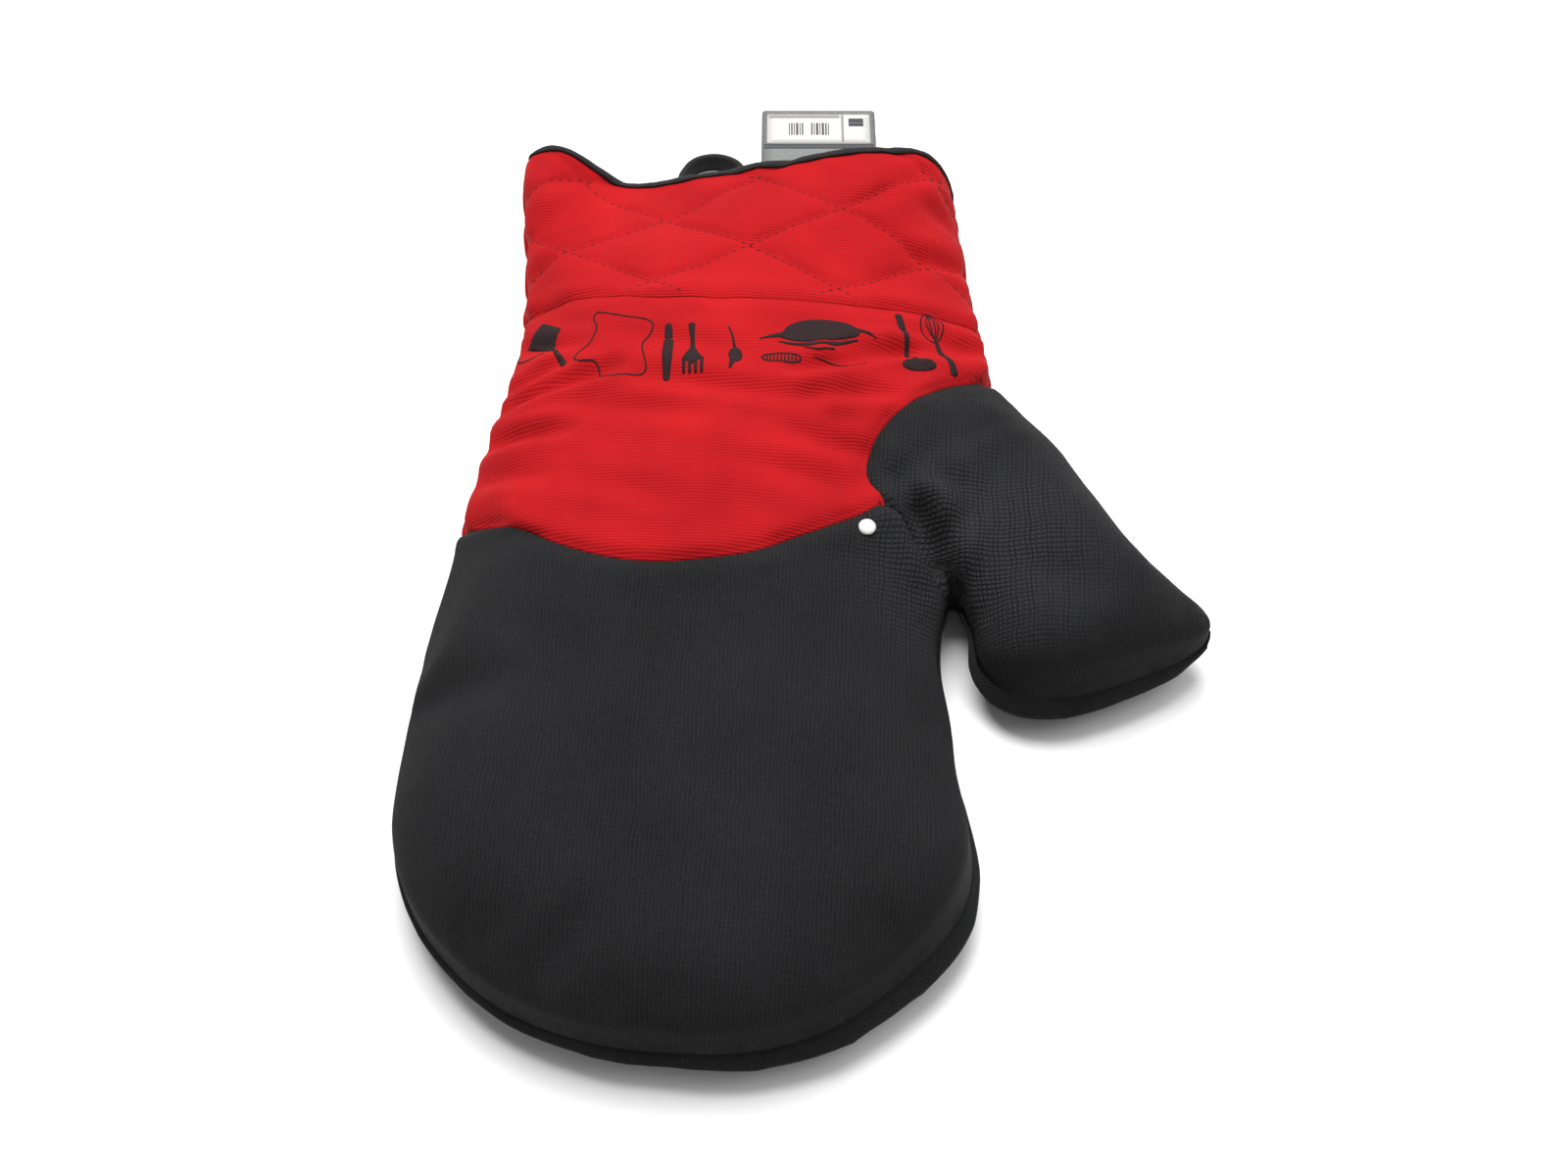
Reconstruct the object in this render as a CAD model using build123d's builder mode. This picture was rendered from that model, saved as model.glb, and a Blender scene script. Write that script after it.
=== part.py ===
from build123d import *
import math
import os

# An oven mitt lying palm up on a flat surface, in millimetres.
# +X runs to the thumb, +Y from the fingertips to the cuff's mouth, +Z up out of the palm side.
# The origin is on the surface, under the middle of the palm.
# The palm half and the back half meet at the side seam. Each half is an outer fabric, and inside it a cotton
# lining. The hand and the thumb are neoprene foam, and the wrist and the cuff are twill over wadding.

# Layers, as depths in from the outer surface
TWILL = 1.0
FOAM = 4.0
WALL = 5.0

# Heights
SEAM_Z = 14.0
REACH = 60.0

# How far each half tube runs past the seam, so that the hollow cuts right through: a base and a share of depth
LAP = 2.0
LAP_SHARE = 0.25

# Lines in plan that lie outside the mitt
CLEAR_LEFT, CLEAR_RIGHT, CLEAR_TIPS_Y = -100, 180, -160

# Lengths along Y
KNUCKLE_Y = -40.0
CUFF_SEAM_Y = 103.0
MOUTH_Y = 178.0

# The knuckle and thumb folds: the gap that lets them move
FOLD_GAP = 0.4

# Points in plan that several panels share
CROTCH = (75, -7)
SHOULDER = (89, 84)
BELOW_CROTCH = (84, KNUCKLE_Y)
ABOVE_SHOULDER = (92, CUFF_SEAM_Y)
PANEL_CORNER = (55, 18)

# Seams in plan
RED_SEAM = [(CLEAR_LEFT, 17), (-68, 11), (-34, -1), (-11, -7.5), (17, 1), PANEL_CORNER]
THUMB_SEAM = [PANEL_CORNER, (49, 32), (55, 51), (72, 70), SHOULDER]
THUMB_DART = [PANEL_CORNER, (66, 8), CROTCH]

# Cross-sections from tip to root: left end, right end, lowest point, highest point.
# The hand's tube swells out past the thumb fold and is cut off there, so that it opens into the thumb's tube.
# The hand's and the cuff's tubes both run past the cuff seam, where they are cut.
HAND_STATIONS = [
    ((-12, -146), (22, -146), 7, 20),
    ((-42, -136), (51, -136), 3, 27),
    ((-64, -118), (73, -118), 0, 33.5),
    ((-80, -90), (85.5, -90), -1.5, 38),
    ((-83.5, -50), (79, -50), -1.5, 39),
    ((-82, -20), (76, -20), -1.5, 39),
    ((-81, 8), (100, 8), -1.5, 38),
    ((-79, 35), (117, 35), -1.5, 37),
    ((-77, 62), (108, 62), -1.5, 36),
    ((-75, 88), (89.5, 88), -1.5, 35),
    ((-76, 115), (88.5, 115), -1.5, 36.5),
]
CUFF_STATIONS = [
    ((-75, 60), (89, 60), -1.5, 34.5),
    ((-74.5, 90), (88, 90), -1.5, 35),
    ((-76, 120), (86, 120), -1.5, 37),
    ((-80, 150), (82.5, 150), -1, 40.5),
    ((-83, 185), (79, 185), 2, 44),
]
THUMB_STATIONS = [
    ((103, -37), (135, -27), 7, 18),
    ((88, -28), (155, -8), 1, 26),
    ((80, -14), (138, 18), -1.5, 31),
    ((74, -10), (114, 56), -1.5, 33),
    ((64, -10), (82, 88), -1.5, 34),
]
# Height of a section's two inner Bezier handles, as a share of its rise
HANDLE_RISE = 4 / 3

# Cuff binding, a tape folded over the edge of the mouth
BINDING = 1.0
BINDING_WIDTH = 5.0

# Hanging loop, a strip on edge that bends round from one end to the other
LOOP_LEFT, LOOP_RIGHT = -28.0, 0.0
LOOP_REACH = 206.0
LOOP_TAPE = 2.0
LOOP_HEIGHT = 4.0
LOOP_END_ROUND = 1.98
LOOP_AXIS_Y = MOUTH_Y + BINDING + FOLD_GAP / 2 + LOOP_HEIGHT / 2
LOOP_Z = 4.0

# Hang tag, a card on a plastic tie round the loop's right leg
TAG_WIDTH, TAG_LENGTH, TAG_THICK = 46.0, 52.0, 0.5
TAG_CORNER_X, TAG_CORNER_Y = 4.5, 189.5
TAG_NEAR_Z = 1.5
TAG_TURN = 3.3
TAG_CORNER_R = 1.5
TAG_HOLE_R = 2.0
TAG_HOLE_IN = 5.5
TIE_WIRE = 0.9
TIE_LEFT, TIE_LOW, TIE_HIGH = -4.5, 0.2, 8.4
TIE_BEND = 1.6

# Tack pin, a round plastic head on a shank with a cross bar inside the mitt
PIN_AT = (49, 9)
PIN_HEAD_R, PIN_HEAD_THICK, PIN_HEAD_ROUND = 2.7, 1.2, 0.7
PIN_TOP_Z = 36.9
PIN_SHANK_R = 0.6
PIN_SHANK_LENGTH = 9.0
PIN_BAR_LENGTH = 9.0

SIDES = ("palm", "back")


def inset_rim(stations, inset):
    """The stations' left and right ends, each moved into the mitt at a right angle to the outline."""
    rim = [Vector(*s[0]) for s in reversed(stations)] + [Vector(*s[1]) for s in stations]
    moved = []
    for i, point in enumerate(rim):
        along = (rim[min(i + 1, len(rim) - 1)] - rim[max(i - 1, 0)]).normalized()
        moved.append(point + Vector(-along.Y, along.X) * inset)
    return list(reversed(moved[: len(stations)])), moved[len(stations) :]


def half_section(left, right, rise, lap):
    """Half of a cross-section, from the seam to rise above it, or below it where rise is negative."""
    width = (right - left).length
    lap_z = SEAM_Z - math.copysign(lap, rise)
    seam_to_handle = SEAM_Z + rise * HANDLE_RISE
    across_plane = Plane(origin=left, x_dir=right - left, z_dir=(right - left).cross(Vector(0, 0, 1)))
    with BuildSketch(across_plane) as section:
        with BuildLine():
            Line((0, lap_z), (0, SEAM_Z))
            Bezier((0, SEAM_Z), (0, seam_to_handle), (width, seam_to_handle), (width, SEAM_Z))
            Polyline((width, SEAM_Z), (width, lap_z), (0, lap_z))
        make_face()
    return section.sketch


def half_tube(stations, inset, side):
    """All of a half of the hand or thumb that is deeper than inset, running past the seam by the lap."""
    lefts, rights = inset_rim(stations, inset)
    sections = []
    for left, right, (_, _, low, high) in zip(lefts, rights, stations):
        rise = high - inset - SEAM_Z if side == "palm" else low + inset - SEAM_Z
        sections.append(half_section(left, right, rise, LAP + inset * LAP_SHARE))
    with BuildPart() as tube:
        loft(sections)
        if side == "back":
            split(bisect_by=Plane.XY.offset(inset), keep=Keep.TOP)
    return tube.part


def band(y_from, y_to):
    """A plan region across the whole mitt."""
    with BuildSketch() as region:
        with Locations(((CLEAR_LEFT + CLEAR_RIGHT) / 2, (y_from + y_to) / 2)):
            Rectangle(CLEAR_RIGHT - CLEAR_LEFT, y_to - y_from)
    return region.sketch


def hand_region():
    """The palm between the knuckle fold, the red seam, the dart and the crotch."""
    knuckle_y = KNUCKLE_Y + FOLD_GAP / 2
    with BuildSketch() as region:
        with BuildLine():
            Polyline(RED_SEAM[0], (CLEAR_LEFT, knuckle_y), (BELOW_CROTCH[0] - FOLD_GAP, knuckle_y), CROTCH)
            Spline(*THUMB_DART)
            Spline(*RED_SEAM)
        make_face()
    return region.sketch


def thumb_base_region():
    """The thumb panel's part on the hand, between its seam, the dart and the thumb fold."""
    with BuildSketch() as region:
        with BuildLine():
            Spline(*THUMB_DART)
            Line(CROTCH, SHOULDER)
            Spline(*THUMB_SEAM)
        make_face()
    return region.sketch


def wrist_region():
    """The printed twill between the red seam, the thumb panel and the cuff seam."""
    with BuildSketch() as region:
        with BuildLine():
            Spline(*RED_SEAM)
            Spline(*THUMB_SEAM)
            Polyline(SHOULDER, ABOVE_SHOULDER, (CLEAR_LEFT, CUFF_SEAM_Y), RED_SEAM[0])
        make_face()
    return region.sketch


def thumb_region():
    """Everything beyond the thumb fold."""
    fold = [(x + FOLD_GAP, y) for x, y in (BELOW_CROTCH, CROTCH, SHOULDER, ABOVE_SHOULDER)]
    with BuildSketch() as region:
        with BuildLine():
            Polyline(*fold, (CLEAR_RIGHT, CUFF_SEAM_Y), (CLEAR_RIGHT, KNUCKLE_Y), close=True)
        make_face()
    return region.sketch


def lining_region():
    """The hand and wrist on the near side of both folds, up to the cuff seam."""
    knuckle_y = KNUCKLE_Y + FOLD_GAP / 2
    with BuildSketch() as region:
        with BuildLine():
            Polyline((CLEAR_LEFT, knuckle_y), (BELOW_CROTCH[0] - FOLD_GAP, knuckle_y), CROTCH)
            Polyline(CROTCH, SHOULDER, ABOVE_SHOULDER, (CLEAR_LEFT, CUFF_SEAM_Y), (CLEAR_LEFT, knuckle_y))
        make_face()
    return region.sketch


def cut_out(outer, inner, side, region, holes=()):
    """The piece of one half between two depths that stands over a plan region."""
    with BuildPart() as piece:
        add(outer)
        with BuildSketch(Plane.XY.offset(SEAM_Z)):
            add(region)
        extrude(amount=REACH if side == "palm" else -REACH, mode=Mode.INTERSECT)
        add(inner, mode=Mode.SUBTRACT)
        for hole in holes:
            add(hole, mode=Mode.SUBTRACT)
    return piece.part


def save(part, label):
    """Writes a finished piece, and says how large it is."""
    part.label = label
    export_step(part, f"parts/{label}.step")
    print(label, len(part.solids()), round(part.volume), part.bounding_box().size)


def make_tack_pin():
    """The round white head, the shank through foam and lining, and the bar that holds it."""
    with BuildPart() as tack_pin:
        with BuildSketch(Plane.XY.offset(PIN_TOP_Z - PIN_HEAD_THICK)):
            with Locations(PIN_AT):
                Circle(PIN_HEAD_R)
        extrude(amount=PIN_HEAD_THICK)
        fillet(tack_pin.faces().sort_by(Axis.Z)[-1].edges(), PIN_HEAD_ROUND)
        with BuildSketch(Plane.XY.offset(PIN_TOP_Z - PIN_SHANK_LENGTH)):
            with Locations(PIN_AT):
                Circle(PIN_SHANK_R)
        extrude(amount=PIN_SHANK_LENGTH - PIN_HEAD_THICK)
        bar_plane = Plane(
            origin=(PIN_AT[0] - PIN_BAR_LENGTH / 2, PIN_AT[1], PIN_TOP_Z - PIN_SHANK_LENGTH), z_dir=(1, 0, 0)
        )
        with BuildSketch(bar_plane):
            Circle(PIN_SHANK_R)
        extrude(amount=PIN_BAR_LENGTH)
    return tack_pin.part


def make_binding():
    """The tape folded over the mouth's edge: strips outside the wall, across its edge and inside it."""
    on_wall = band(MOUTH_Y - BINDING_WIDTH, MOUTH_Y)
    past_wall = band(MOUTH_Y, MOUTH_Y + BINDING)
    with BuildPart() as binding:
        for side in SIDES:
            outside, skin, inside, deepest = (
                half_tube(CUFF_STATIONS, depth, side) for depth in (-BINDING, 0, WALL, WALL + BINDING)
            )
            add(cut_out(outside, deepest, side, past_wall))
            add(cut_out(outside, skin, side, on_wall))
            add(cut_out(inside, deepest, side, on_wall))
    return binding.part


def make_loop():
    """A narrow doubled tape on edge, in a hairpin from its left end round to its right end."""
    bend_r = (LOOP_RIGHT - LOOP_LEFT) / 2
    middle_x = (LOOP_RIGHT + LOOP_LEFT) / 2
    bend_y = LOOP_REACH - bend_r
    root_y = LOOP_AXIS_Y - LOOP_HEIGHT / 2
    with BuildPart() as loop:
        with BuildSketch(Plane.XY.offset(LOOP_Z - LOOP_HEIGHT / 2)):
            with BuildLine():
                for r in (bend_r, bend_r - LOOP_TAPE):
                    Line((middle_x - r, root_y), (middle_x - r, bend_y))
                    CenterArc((middle_x, bend_y), r, 0, 180)
                    Line((middle_x + r, bend_y), (middle_x + r, root_y))
                for end in (-1, 1):
                    Line((middle_x + end * bend_r, root_y), (middle_x + end * (bend_r - LOOP_TAPE), root_y))
            make_face()
        extrude(amount=LOOP_HEIGHT)
        root_edges = loop.edges().filter_by(Axis.X).group_by(Axis.Y)[0]
        fillet(root_edges, LOOP_END_ROUND)
    return loop.part


def tag_plane():
    """The tag's underside, from its near left corner, tilted so that its far edge lies on the surface."""
    turn = math.radians(TAG_TURN)
    tilt = math.asin(TAG_NEAR_Z / TAG_LENGTH)
    return Plane(
        origin=(TAG_CORNER_X, TAG_CORNER_Y, TAG_NEAR_Z),
        x_dir=(math.cos(turn), math.sin(turn), 0),
        z_dir=(-math.sin(turn) * math.sin(tilt), math.cos(turn) * math.sin(tilt), math.cos(tilt)),
    )


def make_tag():
    """A stiff card with rounded corners and a punched hole for the tie."""
    with BuildPart() as tag:
        with BuildSketch(tag_plane()):
            with Locations((TAG_WIDTH / 2, TAG_LENGTH / 2)):
                RectangleRounded(TAG_WIDTH, TAG_LENGTH, TAG_CORNER_R)
            with Locations((TAG_HOLE_IN, TAG_HOLE_IN)):
                Circle(TAG_HOLE_R, mode=Mode.SUBTRACT)
        extrude(amount=TAG_THICK)
    return tag.part


def make_tie():
    """A closed nylon loop in an upright plane, through the tag's hole and round the loop's right leg."""
    hole = tag_plane().from_local_coords(Vector(TAG_HOLE_IN, TAG_HOLE_IN, 0))
    middle = Vector((hole.X + TIE_LEFT) / 2, hole.Y, (TIE_HIGH + TIE_LOW) / 2)
    with BuildSketch(Plane(origin=middle, x_dir=(1, 0, 0), z_dir=(0, -1, 0))) as outline:
        RectangleRounded(hole.X - TIE_LEFT, TIE_HIGH - TIE_LOW - TIE_WIRE, TIE_BEND)
    route = outline.sketch.face().outer_wire()
    with BuildPart() as tie:
        with BuildSketch(Plane(origin=route @ 0, z_dir=route % 0)):
            Circle(TIE_WIRE / 2)
        sweep(path=route)
    return tie.part


def main():
    os.makedirs("parts", exist_ok=True)
    tack_pin = make_tack_pin()
    fingers = band(CLEAR_TIPS_Y, KNUCKLE_Y - FOLD_GAP / 2)
    cuff = band(CUFF_SEAM_Y, MOUTH_Y)
    for side in SIDES:
        skin, under_twill, under_foam, inside = (
            half_tube(HAND_STATIONS, depth, side) for depth in (0, TWILL, FOAM, WALL)
        )
        thumb_skin, thumb_under_foam, thumb_inside = (
            half_tube(THUMB_STATIONS, depth, side) for depth in (0, FOAM, WALL)
        )
        cuff_skin, cuff_under_twill, cuff_under_wadding, cuff_inside = (
            half_tube(CUFF_STATIONS, depth, side) for depth in (0, TWILL, FOAM, WALL)
        )
        holes = (tack_pin,) if side == "palm" else ()
        save(cut_out(skin, under_foam, side, fingers), f"{side}_finger_panel")
        save(cut_out(skin, under_foam, side, hand_region(), holes), f"{side}_hand_panel")
        save(cut_out(skin, under_foam, side, thumb_base_region()), f"{side}_thumb_base_panel")
        save(cut_out(thumb_skin, thumb_under_foam, side, thumb_region()), f"{side}_thumb_panel")
        save(cut_out(skin, under_twill, side, wrist_region()), f"{side}_wrist_panel")
        save(cut_out(under_twill, under_foam, side, wrist_region()), f"{side}_wrist_wadding")
        save(cut_out(cuff_skin, cuff_under_twill, side, cuff), f"{side}_cuff_panel")
        save(cut_out(cuff_under_twill, cuff_under_wadding, side, cuff), f"{side}_cuff_wadding")
        save(cut_out(under_foam, inside, side, fingers), f"{side}_finger_lining")
        save(cut_out(under_foam, inside, side, lining_region(), holes), f"{side}_hand_lining")
        save(cut_out(thumb_under_foam, thumb_inside, side, thumb_region()), f"{side}_thumb_lining")
        save(cut_out(cuff_under_wadding, cuff_inside, side, cuff), f"{side}_cuff_lining")
    save(tack_pin, "tack_pin")
    save(make_binding(), "cuff_binding")
    save(make_loop(), "hanging_loop")
    save(make_tag(), "hang_tag")
    save(make_tie(), "tag_tie")


main()
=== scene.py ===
import math

import bpy
import numpy as np
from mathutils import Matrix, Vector
from mathutils.bvhtree import BVHTree
from mathutils.geometry import delaunay_2d_cdt


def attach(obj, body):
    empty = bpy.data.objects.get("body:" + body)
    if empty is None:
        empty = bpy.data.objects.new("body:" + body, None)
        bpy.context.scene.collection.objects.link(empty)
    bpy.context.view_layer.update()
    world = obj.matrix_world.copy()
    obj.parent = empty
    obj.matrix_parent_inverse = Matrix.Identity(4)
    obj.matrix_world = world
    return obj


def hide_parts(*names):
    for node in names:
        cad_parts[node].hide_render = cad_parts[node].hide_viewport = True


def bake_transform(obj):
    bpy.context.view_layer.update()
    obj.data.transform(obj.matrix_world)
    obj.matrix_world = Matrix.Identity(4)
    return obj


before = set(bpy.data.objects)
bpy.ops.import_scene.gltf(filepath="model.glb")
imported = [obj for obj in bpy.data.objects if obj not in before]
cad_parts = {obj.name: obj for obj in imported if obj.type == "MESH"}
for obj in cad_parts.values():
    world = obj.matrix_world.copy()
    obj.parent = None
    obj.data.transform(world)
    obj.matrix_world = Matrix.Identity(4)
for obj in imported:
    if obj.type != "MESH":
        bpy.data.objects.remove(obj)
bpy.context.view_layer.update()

# The mitt is one skin: a palm sheet and a back sheet that share the side seam. It is meshed flat in plan,
# raised by formula, relaxed as cloth, and then cut into its panels, each a layer of real thickness.
# Sizes are millimetres until add_piece() turns them into metres.

MM = 0.001
SPACING = 4.2

# The side seam's height, and how far up the plan the mouth and the cuff seam are
SEAM_Z = 14.0
MOUTH_Y = 178.0
CUFF_SEAM_Y = 103.0

# Depths into the wall, and the hair's breadth left between two layers
TWILL = 1.0
FOAM = 4.0
WALL = 5.0
HAIR = 0.05

# Plan outline, along the side seam and then across the mouth
CROTCH = (77.5, -4)
SHOULDER = (90.5, 83)
HAND_SIDE = [
    (-82.5, 178), (-80, 150), (-75.5, 120), (-73.3, 97), (-74.6, 72), (-77.5, 42), (-80, 12), (-81.5, -15),
    (-83, -45), (-81.8, -78), (-77.8, -98), (-70.2, -113.5), (-56.5, -127), (-36, -138), (-12, -143.3),
    (9, -143.8), (28, -141), (45.5, -133.5), (61.8, -121.3), (74.2, -107.5), (80.6, -95.3), (82.2, -84.5),
    (79.6, -67), (76.2, -45), (73.8, -28), (73.9, -16), CROTCH,
]
THUMB_SIDE = [
    CROTCH, (82.4, -13), (83.2, -21.5), (87, -28), (94.5, -32.2), (106, -33), (118, -31), (131, -26),
    (144, -20), (154.5, -14.8), (159, -9.6), (154.6, -3.4), (144, 2.8), (133.3, 13.3), (123, 30.8),
    (112.6, 51.2), (99.6, 71.2), SHOULDER,
]
CUFF_SIDE = [SHOULDER, (90.5, 94), (87.5, 108), (84, 130), (81.5, 154), (79, 175)]
MOUTH = [(79, 175), (55, 175), (20, 172.5), (-15, 171.5), (-44, 172), (-64, 175), (-82.5, 178)]
OUTLINE = (HAND_SIDE, THUMB_SIDE, CUFF_SIDE, MOUTH)

# Panel seams in plan
PANEL_CORNER = (55, 18)
RED_SEAM = [(-86, 13), (-68, 9.5), (-38, -4), (-14, -8.8), (14, -3.5), (36, 7.5), PANEL_CORNER]
THUMB_SEAM = [PANEL_CORNER, (49, 32), (55, 51), (72, 70), SHOULDER]
THUMB_DART = [PANEL_CORNER, (66, 8), CROTCH]
CUFF_SEAM = [(-90, 104), (-60, 102.5), (-20, 99.5), (30, 100), (70, 103), (100, 106)]
SEAMS = (RED_SEAM, THUMB_SEAM, THUMB_DART, CUFF_SEAM)

# Diamond quilting on the cuff: where two of its lines cross, and the diamonds' size
QUILT_AT = (5.0, 127.0)
QUILT_WIDE, QUILT_TALL = 63.0, 38.0
QUILT_SLOPE = QUILT_TALL / QUILT_WIDE

HAND, WRIST, CUFF, THUMB = range(4)


# ---- curves and fields

def lengths(rows):
    return np.linalg.norm(rows, axis=1)


def unit(rows):
    """Each row scaled to a length of one."""
    return rows / lengths(rows)[:, None]


def smooth_curve(points, step):
    """Evenly spaced points on the Catmull-Rom curve through the given ones."""
    p = np.array(points, float)
    p = np.vstack([2 * p[0] - p[1], p, 2 * p[-1] - p[-2]])
    dense = []
    for a, b, c, d in zip(p[:-3], p[1:-2], p[2:-1], p[3:]):
        t = np.linspace(0, 1, 24, endpoint=False)[:, None]
        dense.append(0.5 * (2 * b + (c - a) * t + (2 * a - 5 * b + 4 * c - d) * t**2
                            + (3 * b - a - 3 * c + d) * t**3))
    dense = np.vstack(dense + [p[-2][None]])
    return evenly(dense, step)


def evenly(points, step):
    """The same polyline with points every step along it."""
    along = np.concatenate([[0], np.cumsum(lengths(np.diff(points, axis=0)))])
    count = max(2, round(along[-1] / step) + 1)
    wanted = np.linspace(0, along[-1], count)
    return np.column_stack([np.interp(wanted, along, points[:, k]) for k in range(points.shape[1])])


def closed(outline):
    """An outline with its first point repeated at its end."""
    return np.vstack([outline, outline[:1]])


def full_turn(count):
    """Even angles round a circle."""
    return np.linspace(0, 2 * math.pi, count, endpoint=False)


def distance_to(points, line):
    """Each point's distance to a polyline, and the nearest point on it."""
    best = np.full(len(points), 1e9)
    nearest = np.zeros_like(points)
    for a, b in zip(line[:-1], line[1:]):
        ab = b - a
        t = np.clip(((points - a) @ ab) / max(ab @ ab, 1e-12), 0, 1)
        foot = a + t[:, None] * ab
        d = lengths(points - foot)
        closer = d < best
        best[closer] = d[closer]
        nearest[closer] = foot[closer]
    return best, nearest


def inside(points, polygon):
    """Which points lie in a closed polygon."""
    x, y = points[:, 0], points[:, 1]
    result = np.zeros(len(points), bool)
    for (x1, y1), (x2, y2) in zip(polygon, np.roll(polygon, -1, axis=0)):
        crosses = (y1 > y) != (y2 > y)
        with np.errstate(divide="ignore", invalid="ignore"):
            at = (x2 - x1) * (y - y1) / (y2 - y1) + x1
        result ^= crosses & (x < at)
    return result


def ramp(value, start, end):
    """A smooth step from 0 at start to 1 at end."""
    t = np.clip((value - start) / (end - start), 0, 1)
    return t * t * (3 - 2 * t)


def bell(value, width):
    """1 at zero, falling away over width."""
    return np.exp(-(value / width) ** 2)


def unevenness(x, y, size, seed):
    """Smooth deterministic noise between about -1 and 1, with lumps of about the given size."""
    rng = np.random.default_rng(seed)
    total = np.zeros_like(x)
    for _ in range(7):
        angle = rng.uniform(0, 2 * math.pi)
        scale = 2 * math.pi / (size * rng.uniform(1.5, 3.2))
        phase = rng.uniform(0, 2 * math.pi)
        warp = 0.9 * np.sin(scale * 0.7 * (y * math.cos(angle) - x * math.sin(angle)) + phase)
        total += np.sin(scale * (x * math.cos(angle) + y * math.sin(angle)) + warp + phase)
    return total / 3.5


def quilt_lines(steps):
    """The quilting's lines, as the sign of each one's slope and its points at the given steps across."""
    for sign in (-1, 1):
        for shift in np.arange(-5, 6) * QUILT_TALL:
            ys = QUILT_AT[1] + shift + sign * QUILT_SLOPE * steps
            yield sign, np.column_stack([QUILT_AT[0] + steps, ys])


# ---- triangles

def triangle_sides(faces):
    """The three directed sides of every triangle."""
    return np.vstack([faces[:, [0, 1]], faces[:, [1, 2]], faces[:, [2, 0]]])


def edges_of(faces):
    """Every edge once, and how many triangles share it."""
    return np.unique(np.sort(triangle_sides(faces), axis=1), axis=0, return_counts=True)


def closed_layer(top, bottom, faces):
    """The closed solid between two copies of one triangle mesh, as points and faces."""
    sides = triangle_sides(faces)
    _, index, count = np.unique(np.sort(sides, axis=1), axis=0, return_index=True, return_counts=True)
    n = len(top)
    walls = [(b, a, a + n, b + n) for a, b in sides[index[count == 1]].tolist()]
    return np.vstack([top, bottom]), faces.tolist() + (faces[:, ::-1] + n).tolist() + walls


def triangulated(points, edges, outline, holes=(), near=1e-5):
    """Anticlockwise triangles inside an outline and outside its holes, along the given edges."""
    verts, _, faces, *_ = delaunay_2d_cdt([Vector(p) for p in points], edges, [], 1, near)
    verts = np.array([tuple(v) for v in verts])
    faces = np.array([f for f in faces if len(f) == 3])
    centres = verts[faces].mean(axis=1)
    keep = inside(centres, outline)
    for hole in holes:
        keep &= ~inside(centres, hole)
    faces = faces[keep]
    a, b, c = (verts[faces[:, k]] for k in range(3))
    turn = (b - a)[:, 0] * (c - a)[:, 1] - (b - a)[:, 1] * (c - a)[:, 0]
    faces[turn < 0] = faces[turn < 0][:, ::-1]
    return verts, faces


def vertex_normals(points, faces):
    a, b, c = (points[faces[:, k]] for k in range(3))
    face_normal = np.cross(b - a, c - a)
    normal = np.zeros_like(points)
    for k in range(3):
        np.add.at(normal, faces[:, k], face_normal)
    return normal / np.maximum(lengths(normal), 1e-9)[:, None]


def finer(points, faces, tags):
    """Each triangle cut in four. Extra columns of points ride along."""
    edges, which = np.unique(np.sort(triangle_sides(faces), axis=1), axis=0, return_inverse=True)
    middle = points[edges].mean(axis=1)
    ab, bc, ca = which.reshape(3, -1) + len(points)
    a, b, c = faces.T
    split = [np.column_stack(corners) for corners in ((a, ab, ca), (ab, b, bc), (ca, bc, c), (ab, bc, ca))]
    return np.vstack([points, middle]), np.vstack(split), np.tile(tags, 4)


def relax(points, faces, rounds, share):
    """Smoothing along the normal, so that seams keep their lines. A free rim follows itself only."""
    edges, count = edges_of(faces)
    rim = edges[count == 1]
    inner = np.vstack([edges[count == 2], edges[count == 2][:, ::-1]])
    inner = inner[~np.isin(inner[:, 0], rim)]
    here, there = np.vstack([inner, rim, rim[:, ::-1]]).T
    number = np.maximum(np.bincount(here, minlength=len(points)), 1)[:, None]
    for _ in range(rounds):
        total = np.zeros_like(points)
        np.add.at(total, here, points[there])
        move = total / number - points
        normal = vertex_normals(points, faces)
        points = points + share * normal * np.sum(move * normal, axis=1)[:, None]
    return points


def spread_out(values, faces, rounds):
    """Values averaged with their neighbours', over and over."""
    edges, _ = edges_of(faces)
    here, there = np.vstack([edges, edges[:, ::-1]]).T
    number = np.bincount(here, minlength=len(values))[:, None]
    for _ in range(rounds):
        total = np.zeros_like(values)
        np.add.at(total, here, values[there])
        values = 0.4 * values + 0.6 * total / number
    return values


# ---- plan mesh

# Rows of points beside the outline, by distance, and beside each panel seam, by distance, by least gap to
# other points and by least distance from the outline
RIM_ROWS = (2.0, 4.4, 7.4)
SEAM_ROWS = ((1.8, 1.4, 1.5), (4.2, 1.7, 2.0))
QUILT_ROW = 2.2


def left_of(line):
    """The directions along a line in plan and to its left."""
    along = unit(np.gradient(line, axis=0))
    return along, np.column_stack([-along[:, 1], along[:, 0]])


def rows_beside(line, offsets):
    """Points at several offsets to the left of a line."""
    _, left = left_of(line)
    return np.vstack([line + left * d for d in offsets])


def clear_of(points, others, gap):
    """The points that are at least gap from all the others and from each other."""
    kept = []
    distance = np.min(np.linalg.norm(points[:, None] - others[None], axis=2), axis=1)
    for point in points[distance > gap]:
        if not kept or np.min(lengths(np.array(kept) - point)) > gap:
            kept.append(point)
    return np.array(kept).reshape(-1, 2)


def quilt_points():
    """Points along the quilting, between the cuff seam and the mouth, one array for each line."""
    lines = [line for _, line in quilt_lines(np.arange(-130, 130, SPACING))]
    lines = [line[(line[:, 1] > CUFF_SEAM_Y + 2) & (line[:, 1] < MOUTH_Y - 2)] for line in lines]
    return [line for line in lines if len(line)]


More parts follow.
